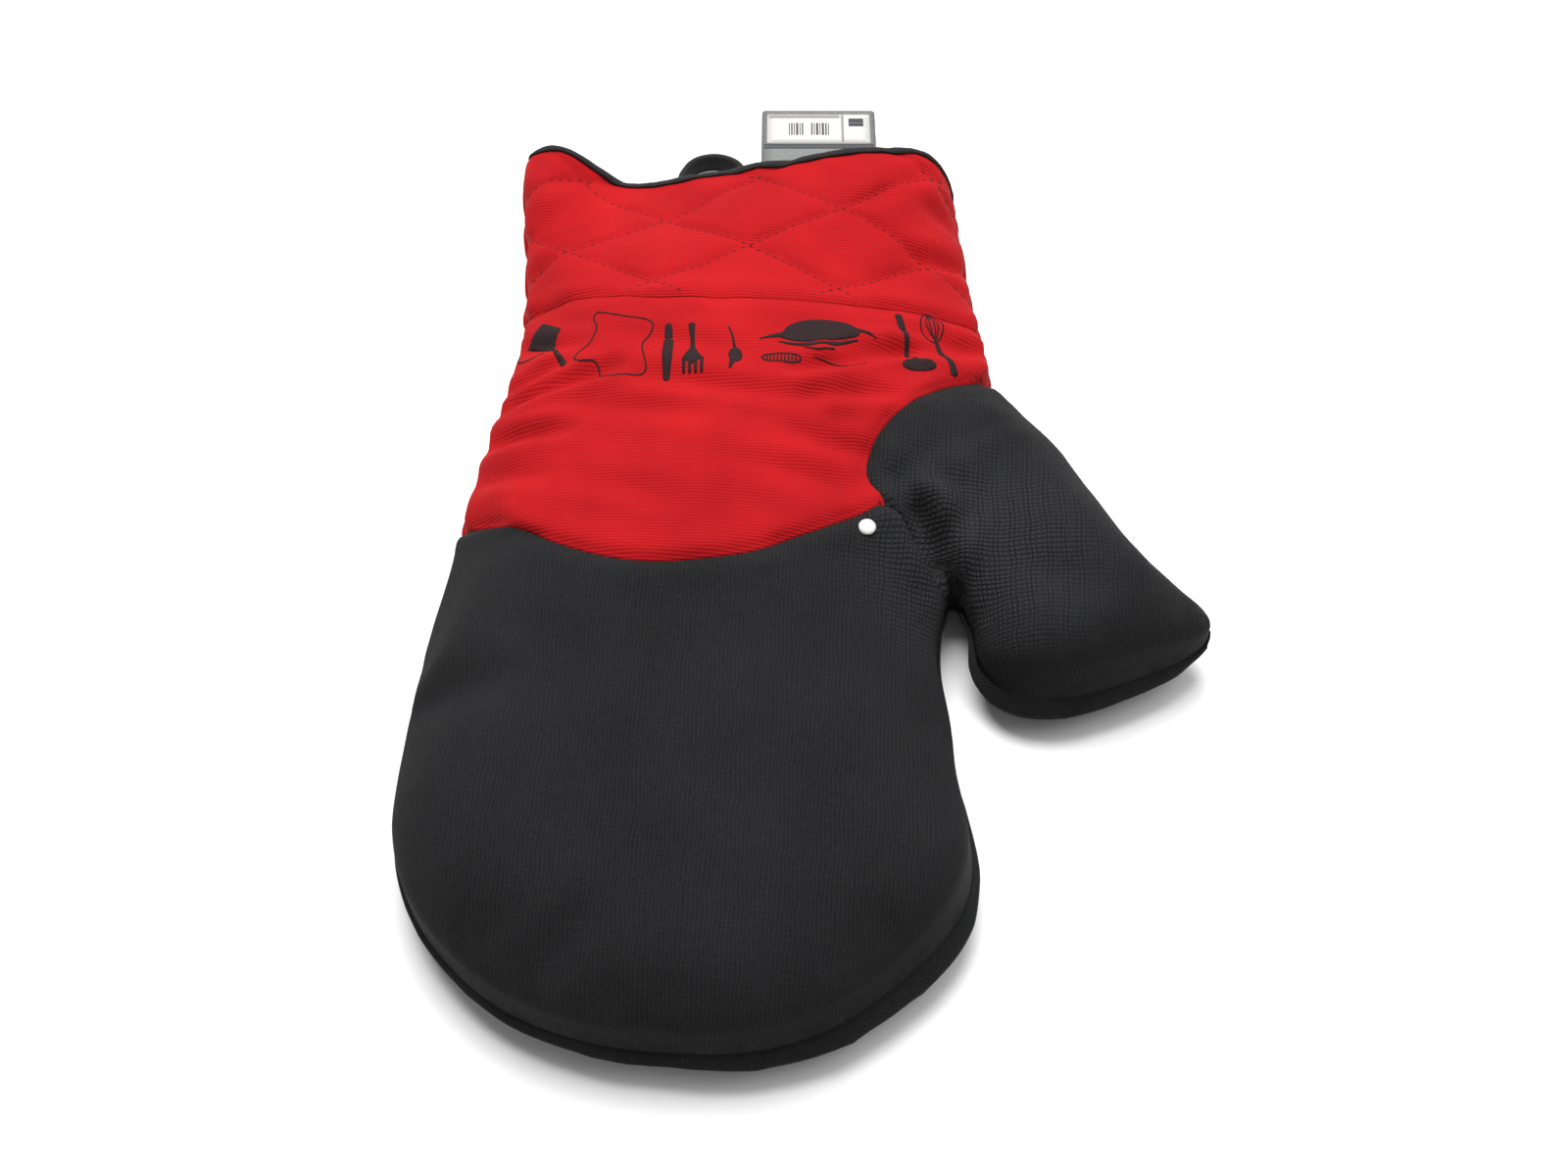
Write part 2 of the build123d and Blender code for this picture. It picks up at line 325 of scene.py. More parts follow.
def lattice():
    """A triangular lattice of points over the whole plan."""
    rows = []
    for j, y in enumerate(np.arange(-160, 190, SPACING * math.sqrt(3) / 2)):
        xs = np.arange(-100, 170, SPACING) + (SPACING / 2 if j % 2 else 0)
        rows.append(np.column_stack([xs, np.full_like(xs, y)]))
    return np.vstack(rows)


def plan_mesh():
    """The plan's vertices and triangles, with every seam along edges, and the outline's four sides."""
    sides = [smooth_curve(c, SPACING) for c in OUTLINE]
    outline = np.vstack([s[:-1] for s in sides])
    rim = closed(outline)
    seams = [smooth_curve(c, SPACING) for c in SEAMS]
    edges = [(i, (i + 1) % len(outline)) for i in range(len(outline))]
    start = len(outline)
    for seam in seams:
        edges += [(start + i, start + i + 1) for i in range(len(seam) - 1)]
        start += len(seam)
    rows = [(rows_beside(rim, [offset]), 1.4, 0.93 * offset) for offset in RIM_ROWS]
    for seam in seams:
        rows += [(rows_beside(seam, [-offset, offset]), gap, margin) for offset, gap, margin in SEAM_ROWS]
    gap, margin = SEAM_ROWS[1][1:]
    rows += [(line, gap, margin) for line in quilt_points()]
    rows += [(rows_beside(line, [-QUILT_ROW, QUILT_ROW]), gap, margin) for line in quilt_points()]
    rows.append((lattice(), 0.62 * SPACING, 0.62 * SPACING))
    placed = np.vstack([outline] + seams)
    for points, gap, margin in rows:
        points = points[inside(points, outline)]
        points = points[distance_to(points, rim)[0] > margin]
        placed = np.vstack([placed, clear_of(points, placed, gap)])
    verts, faces = triangulated(placed, edges, outline, near=1e-4)
    used = np.unique(faces)
    renumber = np.zeros(len(verts), int)
    renumber[used] = np.arange(len(used))
    return verts[used], renumber[faces], sides


def region_of(centres):
    """The panel that each face centre belongs to, from areas that reach past the outline."""
    red, thumb, dart, cuff = (smooth_curve(c, 1) for c in SEAMS)
    hand_area = np.vstack([red, dart, [CROTCH, (81, -30), (95, -160), (-110, -160), (-110, 15)]])
    cuff_area = np.vstack([cuff, [(120, 200), (-120, 200)]])
    thumb_area = np.vstack([dart[::-1], thumb, [(170, 84), (170, -60), (90, -60), (81, -30)]])
    region = np.full(len(centres), WRIST)
    region[inside(centres, hand_area)] = HAND
    region[inside(centres, cuff_area)] = CUFF
    region[inside(centres, thumb_area) & ~inside(centres, hand_area)] = THUMB
    return region


# ---- raised shape

def puff_height(verts, faces, held):
    """A dome over the plan, from an inflated membrane solved by conjugate gradients. Held vertices stay."""
    corners = verts[faces]
    weights = []
    ends = []
    area = 0.5 * np.abs(np.cross(corners[:, 1] - corners[:, 0], corners[:, 2] - corners[:, 0]))
    for k, a, b in ((0, 1, 2), (1, 2, 0), (2, 0, 1)):
        dots = np.sum((corners[:, a] - corners[:, k]) * (corners[:, b] - corners[:, k]), axis=1)
        weights.append(0.25 * dots / np.maximum(area, 1e-6))
        ends.append(faces[:, [a, b]])
    weights = np.concatenate(weights)
    i, j = np.vstack(ends).T
    free = ~held
    load = np.zeros(len(verts))
    for k in range(3):
        np.add.at(load, faces[:, k], area / 3)
    load *= free

    def stiffness(h):
        out = np.zeros(len(h))
        pull = weights * (h[i] - h[j])
        np.add.at(out, i, pull)
        np.add.at(out, j, -pull)
        return out * free

    h = np.zeros(len(verts))
    residual = load.copy()
    direction = residual.copy()
    size = residual @ residual
    for _ in range(900):
        pushed = stiffness(direction)
        step = size / (direction @ pushed)
        h += step * direction
        residual -= step * pushed
        new_size = residual @ residual
        if new_size < 1e-8 * (load @ load):
            break
        direction = residual + new_size / size * direction
        size = new_size
    return np.sqrt(2 * np.maximum(h, 0))


# Height of the palm's lip along the mouth
LIP = [(-84, 26), (-78, 33), (-70, 36), (-60, 30), (-46, 20.5), (-32, 22), (-12, 28), (10, 34), (32, 38),
       (50, 41), (63, 40), (73, 34), (81, 21)]
EAR_X, EAR_RISE = -84, 13
TIP_DROP = 1.5

# The palm's dome: its height, and the radius and power that shape the membrane's height into it
CROWN = 25.0
DOME_RADIUS = 82.0
DOME_POWER = 0.84

# Widths beside the side seam: the steep edge, the lip's rounded end and the palm's bulge past the seam
STEEP_EDGE = 19
LIP_EDGE = 15
PUFF_WIDE = 4.5

# The back's edge roll: how far in it starts, and how far out it goes all round, at the fingertips, with
# their lean, at the lower right corner, and at the thumb
BACK_ROLL = 12.0
ROLL_OUT = 5.6
FINGER_ROLL, FINGER_ROLL_LEAN, CORNER_ROLL = 2.2, 3.4, 3.5
THUMB_ROLL = 9.0

# A point at the thumb's root, and the thumb's direction
THUMB_ROOT = (75, -8)
THUMB_WAY = (0.9884, -0.152)


def seam_height(x, y):
    """The side seam's height: lower at the fingertips, and an ear at the mouth's left corner."""
    ear = bell(x - EAR_X, 20) * ramp(y, 125, 178)
    return SEAM_Z - TIP_DROP * ramp(-y, 85, 140) + EAR_RISE * ear


def quarter_round(share):
    """A quarter of a circle's height, from 0 where share is 0 to 1 where it is 1 or more."""
    return np.sqrt(1 - (1 - np.clip(share, 0, 1)) ** 2)


def palm_height(x, y, radius, from_side, thumb):
    """The palm's height over the side seam: a dome, boxier at fingers and thumb, that ends in the lip."""
    fingers = ramp(-y, 40, 110)
    dome = (radius / DOME_RADIUS) ** DOME_POWER
    steep = quarter_round(from_side / (STEEP_EDGE - 4 * thumb))
    boxy = np.clip(0.75 * fingers + 0.6 * thumb, 0, 0.75)
    crown = CROWN - 2.5 * ramp(y, 20, 95)
    rise = crown * (dome * (1 - boxy) + steep * (0.9 + 0.1 * thumb) * boxy) * (1 + 0.16 * thumb)
    rise *= 1 - 0.35 * ramp(x, 132, 160)
    mouth = ramp(y, 112, 178)
    lip = np.interp(x, *smooth_curve(LIP, 1).T) - seam_height(x, y)
    return rise * (1 - mouth) + lip * quarter_round(from_side / LIP_EDGE) * mouth


def raised(verts, radius, from_side, outward):
    """The palm's, the back's and the side seam's positions over the plan."""
    x, y = verts.T
    seam = seam_height(x, y)
    thumb = THUMB_WAY[0] * (x - THUMB_ROOT[0]) + THUMB_WAY[1] * (y - THUMB_ROOT[1])
    thumb = ramp(thumb, 0, 30) * (y < 95)
    open_corner = 1 - bell(np.hypot(x - CROTCH[0], y - CROTCH[1]), 10)
    puff = open_corner * from_side / PUFF_WIDE * np.exp(1 - from_side / PUFF_WIDE)
    palm = np.column_stack([verts + outward * (2.0 * puff)[:, None],
                            seam + palm_height(x, y, radius, from_side, thumb)])
    # The back's edge rolls out past the seam and under, furthest at the tips.
    turn = math.pi * np.clip(from_side / BACK_ROLL, 0, 1)
    tips = ramp(-y, 55, 105)
    finger_lean = 1.2 * outward[:, 0] - outward[:, 1]
    thumb_lean = -outward[:, 1] - 0.45 * outward[:, 0]
    out = ROLL_OUT * open_corner + tips * (FINGER_ROLL + FINGER_ROLL_LEAN * finger_lean)
    out += CORNER_ROLL * tips * np.maximum(outward[:, 0], 0) * np.maximum(-outward[:, 1], 0)
    out += thumb * open_corner * np.clip(THUMB_ROLL * thumb_lean, -1, THUMB_ROLL) * (1 - ramp(x, 136, 155))
    drop = (seam - 0.5) * (1 - np.cos(turn)) / 2
    back = np.column_stack([verts + outward * (out * np.sin(turn))[:, None], seam - drop])
    return palm, back, np.column_stack([verts, seam])


def add_object(name, data):
    made = bpy.data.objects.new(name, data)
    bpy.context.scene.collection.objects.link(made)
    return made


# The cloth step runs ten times life size. It keeps its creases, but only a share of its broad drift, and no
# point moves further than the cap.
CLOTH_DRIFT = 0.12
CLOTH_CAP = 3.0
CLOTH_SCALE = MM * 10
CLOTH_FRAMES = 15
CLOTH = {
    "quality": 5, "mass": 0.3, "tension_stiffness": 30, "compression_stiffness": 30, "shear_stiffness": 15,
    "bending_stiffness": 8, "air_damping": 5, "vertex_group_mass": "pin", "pin_stiffness": 1,
    "use_pressure": True, "uniform_pressure_force": 1.5, "shrink_min": -0.025,
}


def cloth_settle(points, faces, pinned, freedom):
    """Runs the skin as inflated cloth with a little spare length, so that it creases as fabric does."""
    mesh = bpy.data.meshes.new("settling")
    mesh.from_pydata((points * CLOTH_SCALE).tolist(), [], faces.tolist())
    skin = add_object("settling", mesh)
    group = skin.vertex_groups.new(name="pin")
    for index in np.flatnonzero(pinned > 0).tolist():
        group.add([index], float(pinned[index]), "REPLACE")
    cloth = skin.modifiers.new("Cloth", "CLOTH")
    for key, value in CLOTH.items():
        setattr(cloth.settings, key, value)
    cloth.settings.effector_weights.gravity = 0
    cloth.collision_settings.use_collision = False
    for number in range(1, CLOTH_FRAMES + 1):
        bpy.context.scene.frame_set(number)
    settled = skin.evaluated_get(bpy.context.evaluated_depsgraph_get())
    result = np.empty(len(points) * 3)
    settled.data.vertices.foreach_get("co", result)
    bpy.context.scene.frame_set(1)
    bpy.data.objects.remove(skin)
    bpy.data.meshes.remove(mesh)
    move = result.reshape(-1, 3) / CLOTH_SCALE - points
    broad = spread_out(move, faces, 40)
    move = move - broad
    move = move - spread_out(move, faces, 40) + CLOTH_DRIFT * broad
    length = lengths(move)
    move *= np.where(length > CLOTH_CAP, CLOTH_CAP / np.maximum(length, 1e-9), 1)[:, None]
    return points + move * freedom


# ---- surface detail

# Creases pressed into the palm: start, end, depth and half width
CREASES = [
    ((59, 28), (68, 12), 3.0, 4.2), ((65, 16), (75, -3), 4.6, 4.6), ((73, 5), (80, 20), 1.8, 3.8),
    ((55, 18), (65, 9), 1.8, 1.4), ((66, 34), (84, 26), 1.2, 4.0), ((60, 30), (74, 48), 0.8, 4.0),
    ((38, 79), (80, 90), 2.5, 2.8), ((24, 68), (62, 82), 2.4, 2.6), ((30, 58), (56, 62), 1.6, 2.8),
    ((60, 93), (90, 94), 1.8, 2.8), ((-76, 58), (-34, 68), 2.4, 2.8), ((-76, 66), (-50, 72), 1.8, 2.6),
    ((-78, 44), (-46, 42), 2.0, 3.0), ((-72, 88), (-50, 80), 1.4, 2.8), ((-24, 64), (30, 55), 1.5, 3.4),
    ((-44, 52), (-6, 46), 0.9, 3.6), ((-36, 84), (6, 76), 0.8, 3.4), ((-79, 30), (-52, 24), 1.2, 3.4),
    ((26, 42), (50, 36), 1.1, 3.2), ((6, 30), (46, 22), 0.9, 3.8), ((-40, 22), (-10, 14), 0.6, 3.8),
    ((-74, 134), (-58, 150), 0.9, 4.0), ((60, 128), (84, 134), 1.0, 3.4), ((62, 152), (82, 150), 0.8, 3.4),
]
SEAM_DEPTHS = (1.5, 1.6, 1.6, 0.8)
SEAM_GROOVE, SEAM_RIDGE_AT, SEAM_RIDGE = 2.0, 5.5, 3.0
SEAM_DEPTH_CAP = 1.8


def quilt_distance(x, y):
    """Distance to the nearest line of the diamond quilting."""
    result = np.full(len(x), 1e9)
    for sign in (-1, 1):
        rise = (y - QUILT_AT[1]) - sign * QUILT_SLOPE * (x - QUILT_AT[0])
        off = np.abs((rise + QUILT_TALL / 2) % QUILT_TALL - QUILT_TALL / 2)
        result = np.minimum(result, off / math.hypot(1, QUILT_SLOPE))
    return result


def detail(plan, palm_side, from_side):
    """How far each point is pressed in, or stands out where it is negative."""
    x, y = plan.T
    pressed = np.zeros(len(x))
    for seam, depth in zip(SEAMS, SEAM_DEPTHS):
        d, _ = distance_to(plan, smooth_curve(seam, 3))
        pressed += depth * bell(d, SEAM_GROOVE) - 0.5 * bell(d - SEAM_RIDGE_AT, SEAM_RIDGE)
    pressed = np.minimum(pressed + 1.5 * bell(from_side, 1.6), SEAM_DEPTH_CAP)
    quilted = (y > CUFF_SEAM_Y + 1) & (y < MOUTH_Y + 2)
    d = quilt_distance(x, y)
    pressed += np.where(quilted, 0.9 * bell(d, 1.6) + 0.6 * bell(d, 6) - 0.4, 0)
    for start, end, depth, width in CREASES:
        a, b = np.array(start, float), np.array(end, float)
        d, foot = distance_to(plan, np.array([a, b]))
        along = np.clip(lengths(foot - a) / np.linalg.norm(b - a), 0, 1)
        fade = np.sin(math.pi * np.clip(0.15 + 0.7 * along, 0, 1))
        fade *= 0.25 + 0.75 * ramp(from_side, 0, 8)
        pressed += 1.5 * depth * fade * (bell(d, width) - 0.45 * bell(d - 2.1 * width, width)) * palm_side
    pressed -= 0.22 * unevenness(x, y, 17, 3) + 0.6 * unevenness(x, y, 38, 5)
    return pressed


# ---- materials

class Graph:
    """Short words for building a shader."""

    def __init__(self, name):
        self.material = bpy.data.materials.new(name)
        self.material.use_nodes = True
        self.nodes = self.material.node_tree.nodes
        self.links = self.material.node_tree.links
        self.shader = self.nodes["Principled BSDF"]

    def feed(self, socket, value):
        """Joins another node's output to a socket, or sets a constant."""
        if hasattr(value, "is_linked"):
            self.links.new(value, socket)
        else:
            socket.default_value = value

    def add(self, kind, inputs=(), **settings):
        node = self.nodes.new("ShaderNode" + kind)
        for key, value in settings.items():
            setattr(node, key, value)
        for key, value in dict(inputs).items():
            self.feed(node.inputs[key], value)
        return node

    def math(self, operation, a, b=0.0):
        return self.add("Math", {0: a, 1: b}, operation=operation).outputs[0]

    def total(self, *terms):
        """The sum of values, each times its weight."""
        parts = [self.math("MULTIPLY", value, weight) for value, weight in terms]
        level = parts[0]
        for part in parts[1:]:
            level = self.math("ADD", level, part)
        return level

    def vector(self, operation, a, b, slot=1, output=0):
        return self.add("VectorMath", {0: a, slot: b}, operation=operation).outputs[output]

    def remap(self, value, low=0.0, high=1.0, to_low=0.0, to_high=1.0):
        return self.add("MapRange", {0: value, 1: low, 2: high, 3: to_low, 4: to_high}).outputs[0]

    def mix(self, factor, dark, light):
        node = self.add("Mix", data_type="RGBA")
        self.feed(node.inputs[0], factor)
        self.feed(node.inputs[6], (*dark, 1))
        self.feed(node.inputs[7], (*light, 1))
        return node.outputs[2]

    def pattern(self):
        return self.add("Attribute", attribute_name="pattern").outputs["Vector"]

    def noise(self, vector, scale, detail=2.0, roughness=0.5):
        inputs = {"Vector": vector, "Scale": scale, "Detail": detail, "Roughness": roughness}
        return self.add("TexNoise", inputs).outputs["Fac"]

    def bump(self, height, distance, strength):
        inputs = {"Height": height, "Distance": distance, "Strength": strength}
        return self.add("Bump", inputs).outputs["Normal"]

    def finish(self, **inputs):
        for key, value in inputs.items():
            self.feed(self.shader.inputs[key.replace("_", " ")], value)
        return self.material


def stripes(g, vector, axis, pitch, sharp):
    """Rounded ribs across one axis of the pattern, 0 in the gaps and 1 on the ribs."""
    part = g.add("SeparateXYZ", {0: vector}).outputs[axis]
    wave = g.math("SINE", g.math("MULTIPLY", part, 2 * math.pi / pitch))
    level = g.math("ADD", g.math("MULTIPLY", wave, 0.5), 0.5)
    return g.math("POWER", level, sharp)


def warped(g, vector, scale, amount):
    """The pattern pushed about by noise, so that its threads aren't ruler straight."""
    noise = g.add("TexNoise", {"Vector": vector, "Scale": scale, "Detail": 1.0}).outputs["Color"]
    push = g.vector("SCALE", g.vector("SUBTRACT", noise, (0.5, 0.5, 0.5)), amount, "Scale")
    return g.vector("ADD", vector, push)


def streaks(g, vector, across, along):
    """Noise drawn out into short fibres."""
    place = g.add("Mapping", {0: vector, 3: (across, along, 0.5)}).outputs[0]
    return g.noise(place, 1.0, 3.0, 0.6)


def twill_material():
    """Ribbed cotton twill: fine ribs along the panel, crossed by a faint warp, with worn patches."""
    g = Graph("red_twill")
    place = warped(g, g.pattern(), 0.05, 1.6)
    ribs = stripes(g, place, "Y", 1.05, 0.8)
    warp = stripes(g, place, "X", 0.62, 1.0)
    fuzz = g.noise(g.pattern(), 2.6, 4.0, 0.65)
    broad = g.noise(g.pattern(), 0.035, 3.0)
    height = g.total((ribs, 0.55), (warp, 0.18), (fuzz, 0.6))
    # The colour follows the relief. It is darker between the ribs and the warp threads, which is painted
    # shade, and it also varies with the fuzz and with broad worn patches of tone.
    shade = g.remap(g.total((height, 0.5), (broad, 0.75)), 0.35, 1.05)
    colour = g.mix(shade, (0.235, 0.0031, 0.0052), (0.405, 0.0076, 0.0100))
    rough = g.remap(fuzz, to_low=0.78, to_high=0.95)
    return g.finish(Base_Color=colour, Roughness=rough, Normal=g.bump(height, 0.00022, 0.75),
                    Sheen_Weight=0.04, Sheen_Roughness=0.5, Sheen_Tint=(1.0, 0.3, 0.3, 1),
                    Specular_IOR_Level=0.08)


# Where the neoprene's waffle stands out most, in pattern coordinates, and how far round it fades
WAFFLE_AT = (82, 8, 32)
WAFFLE_FULL, WAFFLE_FADED = 14.0, 50.0


def neoprene_material():
    """Foam faced with a fine ribbed knit, with a waffle embossed round the thumb's base."""
    g = Graph("charcoal_neoprene")
    place = warped(g, g.pattern(), 0.09, 2.4)
    waffle = g.math("MULTIPLY", stripes(g, place, "X", 1.5, 0.5), stripes(g, place, "Y", 1.5, 0.5))
    ribs = stripes(g, place, "X", 1.15, 0.9)
    fibres = g.math("ADD", streaks(g, g.pattern(), 2.4, 0.45), streaks(g, g.pattern(), 0.5, 2.6))
    fuzz = g.noise(g.pattern(), 4.0, 4.0, 0.7)
    broad = g.noise(g.pattern(), 0.03, 3.0)
    reach = g.vector("DISTANCE", g.pattern(), WAFFLE_AT, output="Value")
    embossed = g.remap(reach, WAFFLE_FULL, WAFFLE_FADED, 1.0, 0.05)
    height = g.total((waffle, embossed), (ribs, 0.26), (fibres, 0.6), (fuzz, 0.25))
    # The colour follows the relief. It is darker in the grooves of the waffle and the ribs, which is painted
    # shade, and it is mottled by the fibres, the fuzz and broad patches of tone.
    shade = g.remap(g.total((height, 0.5), (broad, 0.25)), 0.4, 0.95)
    colour = g.mix(shade, (0.0048, 0.0049, 0.0054), (0.0236, 0.0238, 0.0256))
    rough = g.remap(fuzz, to_low=0.62, to_high=0.85)
    return g.finish(Base_Color=colour, Roughness=rough, Normal=g.bump(height, 0.00055, 0.85),
                    Sheen_Weight=0.015, Sheen_Roughness=0.6, Specular_IOR_Level=0.08)


def cotton_material(name, light, dark, pitch, sheen):
    """Plain woven cotton."""
    g = Graph(name)
    place = warped(g, g.pattern(), 0.08, 0.8)
    weave = g.math("ADD", stripes(g, place, "X", pitch, 1.0), stripes(g, place, "Y", pitch, 1.0))
    fuzz = g.noise(g.pattern(), 2.2, 4.0, 0.7)
    height = g.total((weave, 0.4), (fuzz, 0.5))
    # The colour follows the weave's relief. It is darker between the threads, which is painted shade, and it
    # is mottled by the fuzz.
    colour = g.mix(g.remap(height, 0.2, 0.95), dark, light)
    rough = g.remap(fuzz, to_low=0.75, to_high=0.95)
    return g.finish(Base_Color=colour, Roughness=rough, Normal=g.bump(height, 0.0002, 0.7),
                    Sheen_Weight=sheen, Specular_IOR_Level=0.3)


def speckled_material(name, light, dark, roughness, scale, specular):
    """Ink, card and plastic: one colour with a fine mottle."""
    g = Graph(name)
    grain = g.noise(g.pattern(), scale, 4.0, 0.6)
    colour = g.mix(g.remap(grain, 0.3, 0.7), dark, light)
    rough = g.remap(grain, to_low=roughness - 0.06, to_high=roughness + 0.06)
    return g.finish(Base_Color=colour, Roughness=rough, Normal=g.bump(grain, 0.00005, 0.5),
                    Specular_IOR_Level=specular)


# Light and dark thread colours, the dark one also standing for painted shade between the threads, the
# weave's pitch and the sheen
COTTONS = {
    "cotton_lining": ((0.020, 0.020, 0.022), (0.008, 0.008, 0.009), 0.5, 0.15),
    "wadding": ((0.8, 0.79, 0.76), (0.62, 0.61, 0.58), 2.4, 0.15),
    "black_binding": ((0.011, 0.010, 0.011), (0.004, 0.004, 0.004), 0.8, 0.04),
    "black_tape": ((0.012, 0.012, 0.013), (0.005, 0.005, 0.005), 0.7, 0.05),
    "thread": ((0.20, 0.005, 0.007), (0.12, 0.003, 0.004), 0.35, 0.05),
}
# Light and dark specks, roughness, the specks' scale and the gloss
SPECKLED = {
    "print_grey": ((0.030, 0.017, 0.018), (0.014, 0.009, 0.010), 0.9, 1.8, 0.08),
    "white_plastic": ((0.66, 0.65, 0.62), (0.58, 0.57, 0.54), 0.35, 0.6, 0.4),
    "tag_card": ((0.165, 0.170, 0.168), (0.115, 0.120, 0.118), 0.55, 0.9, 0.4),
    "tag_ink": ((0.055, 0.055, 0.06), (0.03, 0.03, 0.033), 0.6, 1.2, 0.4),
    "tag_grey": ((0.25, 0.24, 0.225), (0.20, 0.19, 0.18), 0.6, 1.2, 0.4),
    "tag_label": ((0.54, 0.53, 0.52), (0.48, 0.47, 0.46), 0.5, 0.9, 0.4),
}
MATERIALS = {"red_twill": twill_material(), "charcoal_neoprene": neoprene_material()}
for name, look in COTTONS.items():
    MATERIALS[name] = cotton_material(name, *look)

for name, look in SPECKLED.items():
    MATERIALS[name] = speckled_material(name, *look)


# ---- pieces

def add_piece(name, mesh_data, body, slot, replaces=(), material=None, pattern=None):
    """A smooth shaded piece in metres, riding on a body. Its weave follows pattern, or else its points."""
    points, faces = mesh_data
    mesh = bpy.data.meshes.new(name)
    mesh.from_pydata((np.asarray(points) * MM).tolist(), [], [list(f) for f in faces])
    mesh.polygons.foreach_set("use_smooth", [True] * len(mesh.polygons))
    layer = mesh.attributes.new("pattern", "FLOAT_VECTOR", "POINT")
    layer.data.foreach_set("vector", np.asarray(points if pattern is None else pattern, np.float32).ravel())
    mesh.update()
    mesh.materials.append(MATERIALS[material or slot])
    piece = add_object(name, mesh)
    if body:
        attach(piece, body)
    if replaces:
        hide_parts(*replaces)
    return piece


class Skin:
    """The finished outer surface, from which every layer is cut."""

    def __init__(self, points, normals, faces, region, palm_face, plan, pattern, squeeze):
        self.points = points
        self.normals = normals
        self.faces = faces
        self.region = region
        self.palm_face = palm_face
        self.plan = plan
        self.pattern = pattern
        self.squeeze = squeeze
        flat = np.column_stack([plan, np.zeros(len(plan))])
        self.finders = {}
        for palm in (True, False):
            chosen = faces[palm_face == palm]
            self.finders[palm] = (BVHTree.FromPolygons(flat.tolist(), chosen.tolist()), chosen)

    def layer(self, chosen, outer, inner):
        """A closed layer over the chosen faces, between two depths, and its pattern coordinates."""
        faces = self.faces[chosen]
        used, local = np.unique(faces, return_inverse=True)
        inward = self.normals[used] * self.squeeze[used][:, None]
        top = self.points[used] - inward * outer
        bottom = self.points[used] - inward * inner
        return closed_layer(top, bottom, local.reshape(faces.shape)), np.tile(self.pattern[used], (2, 1))

    def place(self, x, y, palm=True):
        """The surface point over a point in plan, its normal, and how far the wall is squeezed there."""
        finder, faces = self.finders[palm]
        spot, _, index, _ = finder.find_nearest((x, y, 0))
        a, b, c = faces[index]
        corners = self.plan[[a, b, c]]
        share_b, share_c = np.linalg.solve((corners[1:] - corners[0]).T, np.array(spot[:2]) - corners[0])
        share = np.array([1 - share_b - share_c, share_b, share_c])
        normal = share @ self.normals[[a, b, c]]
        normal /= np.linalg.norm(normal)
        return share @ self.points[[a, b, c]], normal, share @ self.squeeze[[a, b, c]]

    def mouth_loop(self):
        """The vertices round the open end, in order."""
        edges, count = edges_of(self.faces)
        following = {}
        for a, b in edges[count == 1].tolist():
            following.setdefault(a, []).append(b)
            following.setdefault(b, []).append(a)
        start = min(following)
        loop = [start, following[start][0]]
        while True:
            options = [v for v in following[loop[-1]] if v != loop[-2]]
            if options[0] == start:
                return np.array(loop)
            loop.append(options[0])


# The skin's least height over the floor, and what marks a face as the palm's beside its panel's number
FLOOR_GAP = 0.25
PALM_TAG = 10


def from_seam(plan, side):
    """Each plan point's distance from the side seam, and the direction out to it."""
    distance, foot = distance_to(plan, side)
    return distance, (foot - plan) / np.maximum(distance, 1e-6)[:, None]


